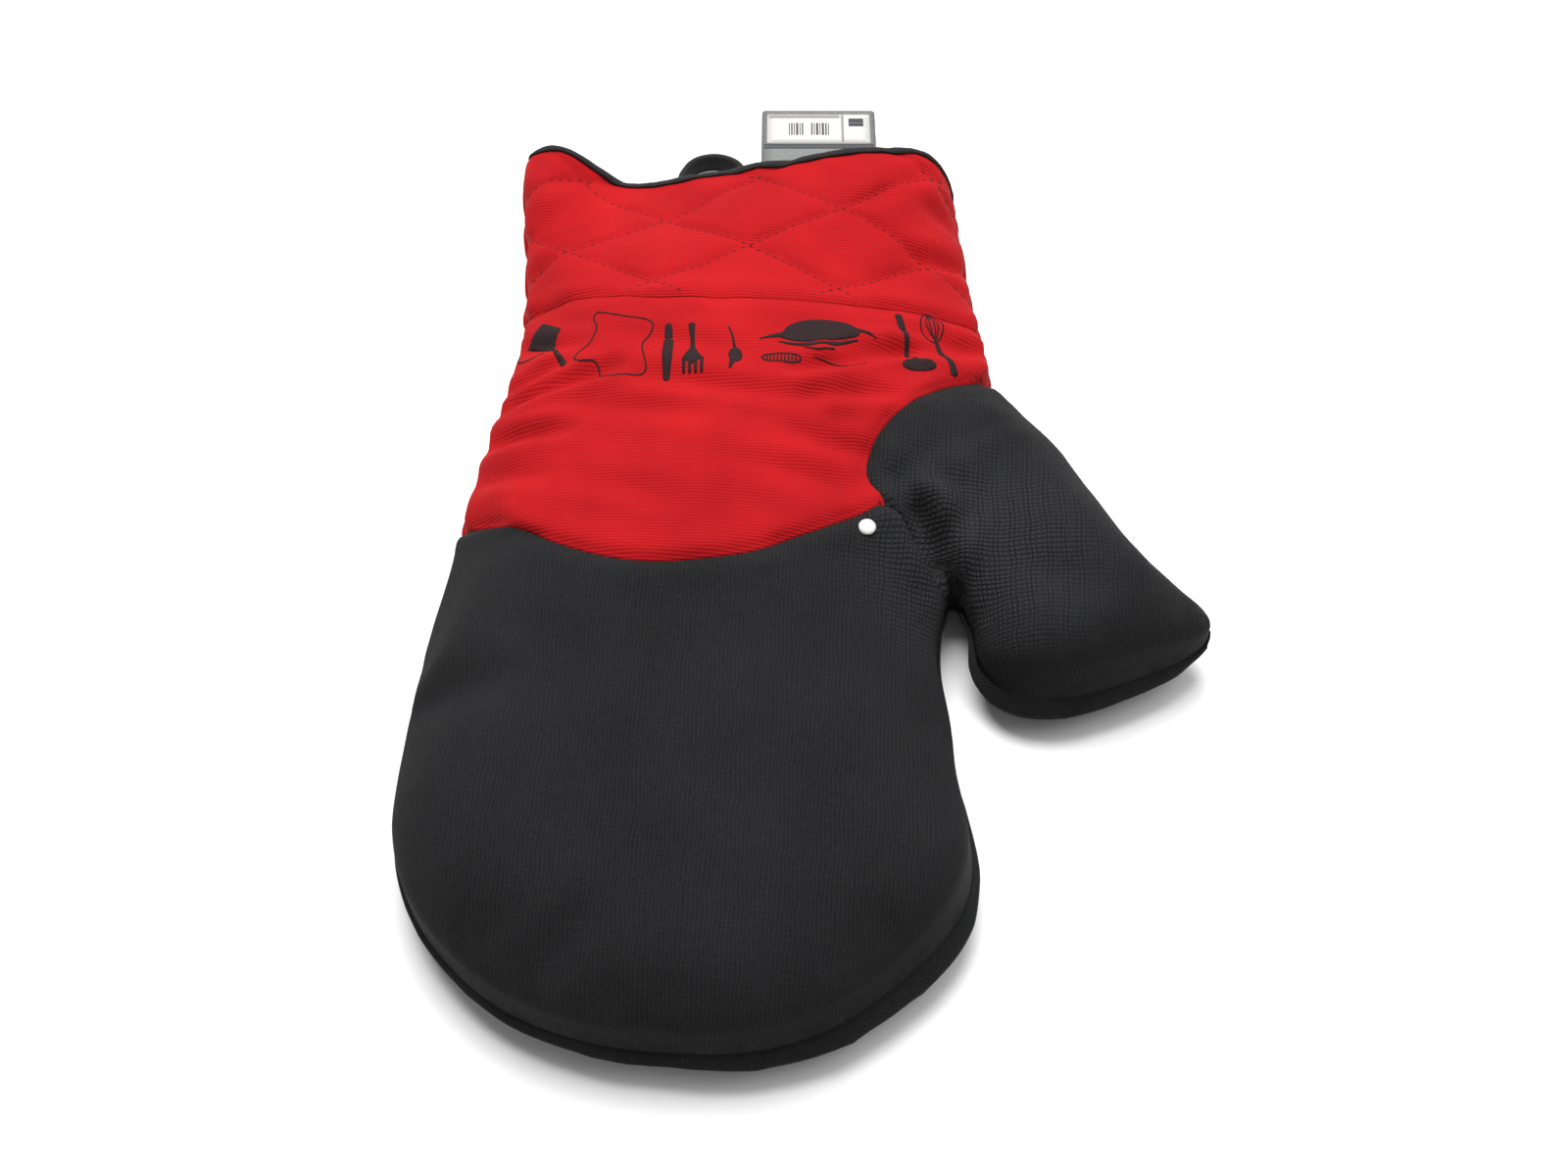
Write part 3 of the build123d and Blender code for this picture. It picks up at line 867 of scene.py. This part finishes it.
def build_skin():
    """The plan raised to palm and back sheets, settled, cut finer and given its detail."""
    plan, faces, (*side, mouth) = plan_mesh()
    side = np.vstack(side)
    from_side, outward = from_seam(plan, side)
    edges, count = edges_of(faces)
    border = np.zeros(len(plan), bool)
    border[edges[count == 1]] = True
    held = border & (from_side < 0.2)
    radius = puff_height(plan, faces, held)
    palm, back, seam = raised(plan, radius, from_side, outward)

    # The two sheets share the held vertices.
    n = len(plan)
    loose = np.where(~held)[0]
    back_index = np.arange(n)
    back_index[loose] = n + np.arange(len(loose))
    points = np.vstack([np.where(held[:, None], seam, palm), back[loose]])
    plan_all = np.vstack([plan, plan[loose]])
    all_faces = np.vstack([faces, back_index[faces][:, ::-1]])
    tags = np.tile(region_of(plan[faces].mean(axis=1)), 2)
    tags[:len(faces)] += PALM_TAG
    points = relax(points, all_faces, 3, 0.5)

    # The cloth settles freely on the palm, less on the cuff, the back, near the side seam and at the crotch.
    # The mouth and what lies on the floor are pinned.
    sideways = 0.2 + 0.8 * ramp(np.concatenate([from_side, from_side[loose]]), 2, 14)
    calm = np.where(np.arange(len(points)) < n, 1 - 0.45 * ramp(plan_all[:, 1], 95, 115), 0.3)
    calm *= 1 - bell(lengths(plan_all - np.array(CROTCH)), 16)
    freedom = np.column_stack([sideways, sideways, np.ones(len(points))]) * calm[:, None]
    from_mouth, _ = distance_to(plan_all, mouth)
    pinned = np.clip(bell(from_mouth, 6) + 0.9 * ramp(-points[:, 2], -1.6, -0.9), 0, 1)
    points = cloth_settle(points, all_faces, pinned, freedom)

    joined, all_faces, tags = finer(np.column_stack([points, plan_all]), all_faces, tags)
    points, plan_all = joined[:, :3], joined[:, 3:]
    region, palm_face = tags % PALM_TAG, tags >= PALM_TAG
    points = relax(points, all_faces, 3, 0.5)
    palm_side = np.zeros(len(points))
    palm_side[np.unique(all_faces[palm_face])] = 1
    from_side, outward = from_seam(plan_all, side)
    normals = vertex_normals(points, all_faces)
    points = points - normals * detail(plan_all, palm_side, from_side)[:, None]
    points = relax(points, all_faces, 1, 0.3)
    points[:, 2] = np.maximum(points[:, 2], FLOOR_GAP + 0.15 * np.minimum(points[:, 2], 0))
    normals = unit(spread_out(vertex_normals(points, all_faces), all_faces, 4))

    # The wall is thinner at the side seam, the mouth and the thumb's shoulder.
    squeeze = (0.3 + 0.7 * ramp(from_side, 0, 9)) * (1 - 0.4 * ramp(plan_all[:, 1], 163, 177))
    squeeze *= 1 - 0.5 * bell(lengths(plan_all - np.array(SHOULDER)), 7)
    unrolled = plan_all + outward * (9 * np.exp(-from_side / 6))[:, None]
    pattern = np.column_stack([unrolled, points[:, 2]])
    return Skin(points, normals, all_faces, region, palm_face, plan_all, pattern, squeeze)


# ---- the sewn panels

skin = build_skin()

# Each layer's panels, its two depths, its slot, the CAD nodes it replaces, and what bends it
LAYERS = {
    "hand_foam": ([HAND], 0, FOAM, "charcoal_neoprene", ["hand_panel", "finger_panel"], "fingers"),
    "thumb_foam": ([THUMB], 0, FOAM, "charcoal_neoprene", ["thumb_panel", "thumb_base_panel"], "thumb"),
    "wrist_padding": ([WRIST], TWILL + HAIR, FOAM, "wadding", ["wrist_wadding"], None),
    "cuff_padding": ([CUFF], TWILL + HAIR, FOAM, "wadding", ["cuff_wadding"], None),
    "wrist_cloth": ([WRIST], 0, TWILL, "red_twill", ["wrist_panel"], None),
    "cuff_cloth": ([CUFF], 0, TWILL, "red_twill", ["cuff_panel"], None),
    "hand_inside": ([HAND, WRIST], FOAM + HAIR, WALL, "cotton_lining", ["hand_lining", "finger_lining"],
                    "fingers"),
    "thumb_inside": ([THUMB], FOAM + HAIR, WALL, "cotton_lining", ["thumb_lining"], "thumb"),
    "cuff_inside": ([CUFF], FOAM + HAIR, WALL, "cotton_lining", ["cuff_lining"], None),
}


def make_layer(side, palm, layer):
    """One layer of one panel, riding on the hand, or, where the table names the fingers or the thumb, on no
    body with its transform baked.
    """
    region, outer, inner, slot, nodes, bend = LAYERS[layer]
    chosen = np.isin(skin.region, region) & (skin.palm_face == palm)
    mesh_data, pattern = skin.layer(chosen, outer, inner)
    nodes = [f"{side}_{node}" for node in nodes]
    piece = add_piece(f"{side}_{layer}", mesh_data, None if bend else "hand", slot, nodes, pattern=pattern)
    if bend:
        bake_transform(piece)


for side, palm in (("palm", True), ("back", False)):
    for layer in LAYERS:
        make_layer(side, palm, layer)


# ---- binding, loop, tag and pin

def swept(sections):
    """A closed ring of faces through equal sections, each a list of points."""
    rings = np.array(sections)
    a = np.arange(rings.shape[0] * rings.shape[1]).reshape(rings.shape[:2])
    b, d = (np.roll(a, -1, axis=axis) for axis in (1, 0))
    c = np.roll(b, -1, axis=0)
    return rings.reshape(-1, 3), np.stack([a, b, c, d], axis=2).reshape(-1, 4).tolist()


def tube(path, section, up=(0, 0, 1)):
    """A solid bar along an open path. Section points are (across, up)."""
    path = np.array(path, float)
    along = unit(np.gradient(path, axis=0))
    across = unit(np.cross(along, up))
    rise = np.cross(across, along)
    section = np.array(section, float)
    rings = path[:, None] + section[None, :, :1] * across[:, None] + section[None, :, 1:] * rise[:, None]
    verts, faces = swept(rings)
    size = len(section)
    faces = [f for f in faces if max(f) - min(f) < 2 * size]
    first = tuple(range(size - 1, -1, -1))
    last = tuple(len(verts) - size + k for k in range(size))
    return verts, faces + [first, last]


def circle(radius, count):
    return radius * np.column_stack([np.cos(full_turn(count)), np.sin(full_turn(count))])


def joined_meshes(parts):
    """Several (points, faces) meshes as one."""
    points = []
    faces = []
    total = 0
    for some_points, some_faces in parts:
        points.append(np.asarray(some_points))
        faces += [tuple(int(i) + total for i in f) for f in some_faces]
        total += len(some_points)
    return np.vstack(points), faces


# How far the binding reaches down the outside and the inside, and its tape's thickness
BINDING_OUTSIDE, BINDING_INSIDE = 2.3, 6.0
BINDING_TAPE = 1.0


def make_binding():
    """A slightly uneven tape folded over the mouth's edge, outside, over the rim and inside."""
    loop = skin.mouth_loop()
    rim_points = skin.points[loop]
    along = np.roll(rim_points, -1, axis=0) - np.roll(rim_points, 1, axis=0)
    out = skin.normals[loop]
    for _ in range(3):
        out = unit(np.roll(out, 1, axis=0) + 2 * out + np.roll(out, -1, axis=0))
    away = np.cross(out, along)
    away = unit(away * np.sign(np.sum(away[:, 1])))
    sections = []
    for index, (vertex, p, n, s) in enumerate(zip(loop, rim_points, out, away)):
        x, y = skin.plan[vertex]
        palm = bool(n[2] > 0)
        puff = BINDING_TAPE * (1.0 + 0.10 * math.sin(0.9 * index) + 0.07 * math.sin(2.3 * index))
        depth = WALL * skin.squeeze[vertex] + 0.1
        outside, inner_side = [], []
        for share in (1.0, 0.99, 0.75, 0.45, 0.2):
            height = 0.05 if share == 1.0 else puff * (1.1 - 0.35 * share**4)
            spot, normal, _ = skin.place(x, y - share * BINDING_OUTSIDE, palm)
            outside.append(spot + normal * height)
            spot, normal, squeeze = skin.place(x, y - share * BINDING_INSIDE, palm)
            inner_side.append(spot - normal * (WALL * squeeze + 0.1 + height))
        bend = ((0.5 * puff, 0.65 * puff), (1.1 * puff, -0.3 * depth), (1.1 * puff, -0.7 * depth),
                (0.5 * puff, -depth - 0.65 * puff))
        over = [p + s * a + n * b for a, b in bend]
        sections.append(outside + over + inner_side[::-1] + [p - n * depth, p])
    add_piece("cuff_edge_tape", swept(sections), "hand", "black_binding", ["cuff_binding"])


# The hanging loop's extent, the height of its middle, and its tape's thickness and height
LOOP_LEFT, LOOP_RIGHT, LOOP_REACH, LOOP_ROOT_Y, LOOP_Z = -28.0, 0.0, 206.0, 179.3, 4.4
LOOP_TAPE, LOOP_HEIGHT = 2.4, 5.0

# Half of the tape's cross-section below its middle, as shares of its half thickness and half height. The dip
# is the groove that the stitching pulls in.
TAPE_EDGE = [(0.55, -1), (0.95, -0.86), (1, -0.7), (0.82, -0.6), (1, -0.45)]
TAPE_SIDE = TAPE_EDGE + [(1.04, 0)] + [(a, -b) for a, b in TAPE_EDGE[::-1]]


def make_hanging_loop():
    """A doubled tape on edge, stitched along both borders, in a hairpin that is taller round its bend."""
    middle = (LOOP_LEFT + LOOP_RIGHT) / 2
    r = (LOOP_RIGHT - LOOP_LEFT - LOOP_TAPE) / 2
    bend_y = LOOP_REACH - LOOP_TAPE / 2 - r
    path = [(middle - r, y, LOOP_Z) for y in np.linspace(LOOP_ROOT_Y, bend_y, 9)[:-1]]
    for turn in np.linspace(math.pi, 0, 33):
        path.append((middle + r * math.cos(turn), bend_y + r * math.sin(turn), LOOP_Z))
    path += [(middle + r, y, LOOP_Z) for y in np.linspace(bend_y, LOOP_ROOT_Y, 9)[1:]]
    half = [(a * LOOP_TAPE / 2, b * LOOP_HEIGHT / 2) for a, b in TAPE_SIDE]
    points, faces = tube(path, half + [(-a, -b) for a, b in half])
    points[:, 2] += 0.5 * (points[:, 2] - LOOP_Z) * ramp(points[:, 1], 197, 203)
    add_piece("hanging_tape", (points, faces), "loop", "black_tape", ["hanging_loop"])


# The tag's near left corner, its size, how it is turned and tilted, and its hole, as far in from both edges
TAG_CORNER = (4.5, 189.5, 1.5)
TAG_WIDTH, TAG_LENGTH, TAG_THICK = 46.0, 52.0, 0.5
TAG_TURN = math.radians(3.3)
TAG_TILT = math.asin(TAG_CORNER[2] / TAG_LENGTH)
TAG_HOLE_IN, TAG_HOLE_R = 5.5, 2.0


def on_tag(points):
    """Points in the tag's own frame, moved to where it lies."""
    across = np.array([math.cos(TAG_TURN), math.sin(TAG_TURN), 0])
    up = np.array([-math.sin(TAG_TURN) * math.sin(TAG_TILT), math.cos(TAG_TURN) * math.sin(TAG_TILT),
                   math.cos(TAG_TILT)])
    along = np.cross(up, across)
    return np.array(TAG_CORNER) + points[:, :1] * across + points[:, 1:2] * along + points[:, 2:] * up


def rounded_box(x0, x1, y0, y1, r):
    """A rectangle's outline with round corners."""
    points = []
    corners = ((x1 - r, y1 - r), (x0 + r, y1 - r), (x0 + r, y0 + r), (x1 - r, y0 + r))
    for quarter, (x, y) in enumerate(corners):
        for k in range(5):
            turn = math.radians(90 * quarter + 22.5 * k)
            points.append((x + r * math.cos(turn), y + r * math.sin(turn)))
    return np.array(points)


def filled(outline, step, holes=()):
    """Triangles filling a closed outline, with points step apart inside."""
    loops = [outline, *holes]
    edges = []
    start = 0
    for loop in loops:
        edges += [(start + i, start + (i + 1) % len(loop)) for i in range(len(loop))]
        start += len(loop)
    low, high = outline.min(axis=0), outline.max(axis=0)
    xs, ys = (np.arange(a, b, step) for a, b in zip(low, high))
    grid = np.array([(x, y) for x in xs for y in ys])
    grid = grid[inside(grid, outline)]
    for loop in loops:
        grid = grid[distance_to(grid, closed(loop))[0] > 0.4 * step]
    return triangulated(np.vstack(loops + [grid]), edges, outline, holes)


def tag_slab(outline, low, high, holes=()):
    """A closed slab on the tag, between two heights."""
    flat, faces = filled(outline, 6, holes)
    top, bottom = (on_tag(np.column_stack([flat, np.full(len(flat), z)])) for z in (high, low))
    return closed_layer(top, bottom, faces)


# Plain bars on the label: where each group starts, and the bars' widths
BARS = ((11, (0.4, 0.6, 0.4, 0.9, 0.4, 0.6)), (20, (0.6, 0.4, 0.9, 0.4, 0.9, 0.6, 0.4)))
BAR_GAP = 0.5


def make_tag():
    """The card, a dark strip and a white label on it, and on the label plain rules, bars and a square."""
    hole = circle(TAG_HOLE_R, 20) + TAG_HOLE_IN
    card = tag_slab(rounded_box(0, TAG_WIDTH, 0, TAG_LENGTH, 1.5), 0, TAG_THICK, [hole])
    add_piece("swing_tag_card", card, "tag", "tag_card", ["hang_tag"])
    paper = TAG_THICK + 0.06
    label = tag_slab(rounded_box(2.2, TAG_WIDTH - 2.2, 31.5, TAG_LENGTH - 2.6, 0.8), TAG_THICK - 0.05, paper)
    add_piece("swing_tag_label", label, "tag", "tag_card", ["hang_tag"], "tag_label")
    marks = []
    for x, widths in BARS:
        for width in widths:
            marks.append(tag_slab(rounded_box(x, x + width, 36.5, 44, 0.08), paper - 0.03, paper + 0.08))
            x += width + BAR_GAP
    marks.append(tag_slab(rounded_box(35.2, 41.2, 42.0, 46.8, 0.3), paper - 0.03, paper + 0.08))
    marks.append(tag_slab(rounded_box(1.0, TAG_WIDTH - 1.0, 28.2, 31.0, 0.4), TAG_THICK - 0.03, paper))
    add_piece("swing_tag_marks", joined_meshes(marks), "tag", "print_grey", ["hang_tag"], "tag_ink")
    across = rounded_box(2.8, 31.6, 47.2, TAG_LENGTH - 3.0, 0.2)
    upright = rounded_box(32.2, 33.2, 32.2, TAG_LENGTH - 3.0, 0.2)
    rules = [tag_slab(outline, paper - 0.03, paper + 0.06) for outline in (across, upright)]
    add_piece("swing_tag_rules", joined_meshes(rules), "tag", "print_grey", ["hang_tag"], "tag_grey")


# The tacking pin's place in plan, its turned profile as radius and height over the palm, and its cross bar
PIN_AT = (49.0, 8.5)
PIN_TOP, PIN_END = 0.95, -8.7
PIN_PROFILE = [(1.1, 0.92), (1.9, 0.8), (2.45, 0.5), (2.7, 0.15), (2.62, -0.15), (0.6, -0.2), (0.55, -8.6)]
PIN_BAR_DEPTH, PIN_BAR_HALF, PIN_BAR_R = 8.4, 4.5, 0.6


def make_pin():
    """A moulded tacking pin: a low domed head on the palm, its shank and its cross bar inside."""
    spot, normal, _ = skin.place(*PIN_AT)
    side = np.cross(normal, (0, 1, 0))
    side /= np.linalg.norm(side)
    other = np.cross(normal, side)
    n = 28
    points = [spot + normal * PIN_TOP]
    for r, h in PIN_PROFILE:
        points += [spot + normal * h + r * (math.cos(t) * side + math.sin(t) * other) for t in full_turn(n)]
    points.append(spot + normal * PIN_END)
    faces = [(0, 1 + k, 1 + (k + 1) % n) for k in range(n)]
    for start in range(1, 1 + n * (len(PIN_PROFILE) - 1), n):
        for k in range(n):
            a, b = start + k, start + (k + 1) % n
            faces.append((a, a + n, b + n, b))
    end = len(points) - 1
    faces += [(end, end - n + (k + 1) % n, end - n + k) for k in range(n)]
    bar_middle = spot - normal * PIN_BAR_DEPTH
    bar_path = [bar_middle + side * t for t in np.linspace(-PIN_BAR_HALF, PIN_BAR_HALF, 7)]
    bar = tube(bar_path, circle(PIN_BAR_R, 12), normal)
    add_piece("tacking_pin", joined_meshes([(points, faces), bar]), "hand", "white_plastic", ["tack_pin"])


# ---- stitching and print

STITCH_PITCH, STITCH_LENGTH, STITCH_R = 3.3, 2.1, 0.2
# Shares along a stitch, and how high it stands there
STITCH_ARCH = ((0, -0.25), (0.12, 0.0), (0.5, 0.12), (0.88, 0.0), (1, -0.25))


def stitch(a, b, palm):
    """One stitch as a small capsule lying on the skin between two points in plan."""
    (spot_a, normal_a, _), (spot_b, normal_b, _) = (skin.place(*p, palm) for p in (a, b))
    path = []
    for share, height in STITCH_ARCH:
        spot = spot_a * (1 - share) + spot_b * share
        normal = normal_a * (1 - share) + normal_b * share
        path.append(spot + normal * height)
    return tube(path, circle(STITCH_R, 6), normal_a)


def quilting(side, palm):
    """Running stitches along the cuff's diamonds, clear of the outline, the cuff seam and the mouth."""
    slant = math.hypot(1, QUILT_SLOPE)
    edge = np.vstack([smooth_curve(c, 3)[:-1] for c in OUTLINE])
    cuff = smooth_curve(CUFF_SEAM, 2)
    parts = []
    for sign, starts in quilt_lines(np.arange(-40, 41) * STITCH_PITCH / slant):
        one = np.array([STITCH_LENGTH / slant, sign * QUILT_SLOPE * STITCH_LENGTH / slant])
        middles = starts + one / 2
        seam_y = np.interp(middles[:, 0], *cuff.T)
        good = inside(middles, edge) & (middles[:, 1] > seam_y + 2) & (middles[:, 1] < MOUTH_Y - 11)
        good &= distance_to(middles, closed(edge))[0] > 3
        parts += [stitch(start, start + one, palm) for start in starts[good]]
    add_piece(f"{side}_quilting_stitches", joined_meshes(parts), "hand", "thread")


def stroke(points, widths, step=1.0):
    """The outline of a brush stroke along a smooth line, whose width runs between the given widths."""
    line = smooth_curve(points, step) if len(points) > 2 else evenly(np.array(points, float), step)
    along, left = left_of(line)
    half = np.interp(np.linspace(0, 1, len(line)), np.linspace(0, 1, len(widths)), widths)[:, None] / 2
    start = line[0] - along[0] * half[0] * 0.7
    end = line[-1] + along[-1] * half[-1] * 0.7
    return np.vstack([line + left * half, end, (line - left * half)[::-1], start])[::-1]


def oval(middle, wide, tall, turn=0.0):
    angle = full_turn(max(16, int(wide * 3)))
    x, y = wide / 2 * np.cos(angle), tall / 2 * np.sin(angle)
    c, s = math.cos(math.radians(turn)), math.sin(math.radians(turn))
    return np.column_stack([middle[0] + c * x - s * y, middle[1] + s * x + c * y])


def oval_ring(middle, wide, tall, turn, width):
    """A thin oval line, open by a hair so that it's one outline."""
    ring = oval(middle, wide, tall, turn)
    return stroke(np.vstack([ring, ring[0] * 0.97 + ring[-1] * 0.03]), [width, width], 0.7)


def trivet(x, y, wide, tall, bars):
    """An oval ring with upright bars across it."""
    shapes = [oval_ring((x, y), wide, tall, 0, 0.6)]
    for k in range(-bars, bars + 1):
        height = 3.4 * math.sqrt(1 - (k / (bars + 1)) ** 2)
        bar_x = x + 1.15 * k
        shapes.append(stroke([(bar_x, y - height / 2), (bar_x, y + height / 2)], [0.5, 0.5], 0.9))
    return shapes


def kitchen_icons():
    """Plain pictures of kitchen tools across the wrist, as outlines in plan."""
    pan = [(-68, 90), (-63, 98.5), (-55.5, 92.5), (-58.5, 84), (-68, 90)]
    mitt = [(-42.5, 95.8), (-34, 93.2), (-24, 90), (-26.2, 80), (-24, 70), (-28, 66.4), (-38, 67.2),
            (-40.6, 73.4), (-45.6, 73.8), (-48, 76.6), (-44, 82), (-42, 88.5), (-43.6, 93.4), (-42.6, 95.6)]
    lid = [(18.6, 85.4), (21, 90), (26, 93), (34, 94.4), (41, 93.8), (44.4, 90.4), (43.2, 87.6), (34, 84.6),
           (25, 83.4), (18.6, 84.6)]
    return [
        # Square pan, its handle and the edge of its lid
        evenly(np.array(pan), 1.2)[:-1],
        stroke([(-58, 85.5), (-55, 81), (-51.5, 74.5)], [1.0, 1.6, 2.4]),
        stroke([(-70.5, 88), (-69, 83.5), (-64.5, 82), (-60, 83)], [0.5, 0.6]),
        # Small mitt in outline
        stroke(mitt, [0.5, 0.5]),
        # Knife
        stroke([(-18.6, 89), (-18.2, 84.5)], [2.2, 2.8]),
        stroke([(-18.1, 83.2), (-17.4, 73), (-17.2, 66.2)], [3.2, 3.4, 2.0]),
        # Fork
        stroke([(-10.8, 89), (-10.2, 84), (-9.6, 78.5)], [2.3, 1.4, 1.8]),
        stroke([(-9.7, 79), (-9.2, 73.6)], [2.0, 6.6]),
        *[stroke([(x, 74), (x + 0.3, 68.4)], [1.25, 0.9]) for x in -11.9 + 1.95 * np.arange(4)],
        # Pastry brush
        stroke([(1.4, 88.4), (3.0, 84.6), (4.0, 80.6)], [0.5, 0.9]),
        oval((4.6, 76.4), 4.6, 7.6, 8),
        stroke([(4.0, 73.4), (3.4, 69.6)], [2.2, 0.8]),
        # Roasting dish with a lid, a foot and two handles
        smooth_curve(lid, 1.2),
        stroke([(18.4, 82.8), (26, 82), (35, 83.2), (44, 86.6)], [0.5, 1.8, 1.8, 0.5]),
        stroke([(27, 80.4), (31.5, 79.2), (36.5, 81)], [0.8, 0.8]),
        stroke([(19.4, 86), (15.6, 85), (12, 83.6)], [2.2, 1.3, 0.4]),
        stroke([(43.4, 90.8), (46.6, 90.2), (50, 88.6)], [2.2, 1.3, 0.4]),
        # Trivet, and a skewer
        *trivet(19.6, 75.4, 12.6, 3.9, 4),
        stroke([(30, 76.8), (38, 76.2), (47, 75.6)], [0.2, 0.45, 0.3]),
        # Ladle
        stroke([(57.4, 102.6), (59, 96.6)], [2.4, 2.5]),
        stroke([(59, 96.6), (61.2, 88), (63.2, 80.8)], [2.3, 1.5, 1.5]),
        oval((64.2, 79.4), 12.4, 5.0, 22),
        # Whisk
        oval_ring((68.7, 100.6), 7.4, 11.6, 10, 0.45),
        *[stroke([(67.6, 106), (68.7 + bow, 101), (71, 95.4)], [0.4, 0.4]) for bow in (-2, -0.8, 0.8, 2)],
        stroke([(71, 95.6), (73.8, 88.6), (76.6, 81.2)], [1.5, 1.9, 2.6]),
    ]


# How far the print is shifted from its outlines, how thick the ink is, and the steps in height that part
# shapes where they cross
PRINT_DROP = -3.0
INK, INK_STEP = 0.15, 0.003
INK_DEPTH = 0.12


def make_print():
    """The print as ink standing a hair above the cloth."""
    parts = []
    for index, outline in enumerate(kitchen_icons()):
        flat, faces = filled(outline + np.array([0, PRINT_DROP]), 1.2)
        found = [skin.place(x, y) for x, y in flat]
        spots, normals = (np.array([place[k] for place in found]) for k in (0, 1))
        ink = INK + INK_STEP * (index % 9)
        parts.append(closed_layer(spots + normals * ink, spots - normals * INK_DEPTH, faces))
    add_piece("wrist_print", joined_meshes(parts), "hand", "print_grey")


make_binding()
make_hanging_loop()
make_tag()
make_pin()
quilting("palm", True)
quilting("back", False)
make_print()


# ---- floor, light and camera

def add_floor():
    bpy.ops.mesh.primitive_plane_add(size=12, location=(0, 0, -0.0003))
    floor = bpy.context.object
    floor.name = "floor"
    matt_white = {"Base_Color": (0.93, 0.93, 0.93, 1), "Roughness": 0.9, "Specular_IOR_Level": 0.1}
    floor.data.materials.append(Graph("floor").finish(**matt_white))


def add_light(name, place, size, power):
    """A round lamp aimed at the origin."""
    light = bpy.data.lights.new(name, "AREA")
    light.shape = "DISK"
    light.size = size
    light.energy = power
    lamp = add_object(name, light)
    lamp.location = place
    lamp.rotation_euler = (-Vector(place)).to_track_quat("-Z", "Y").to_euler()


def add_world():
    world = bpy.data.worlds.new("studio")
    world.use_nodes = True
    background = world.node_tree.nodes["Background"].inputs
    background["Color"].default_value = (1, 1, 1, 1)
    background["Strength"].default_value = 0.28
    bpy.context.scene.world = world


def add_camera():
    camera = bpy.data.cameras.new("camera")
    camera.sensor_width = 36
    camera.lens = 33.66
    camera.clip_start = 0.01
    holder = add_object("camera", camera)
    holder.location = (0.0391, -0.2480, 0.3974)
    holder.rotation_euler = (math.radians(33), 0, math.radians(3.34))
    bpy.context.scene.camera = holder


add_floor()
add_world()
add_light("key", (-0.12, 0.55, 1.05), 1.0, 26)
add_light("fill", (0.6, 0.1, 1.0), 0.9, 4)
add_camera()
bpy.context.scene.view_settings.view_transform = "Standard"
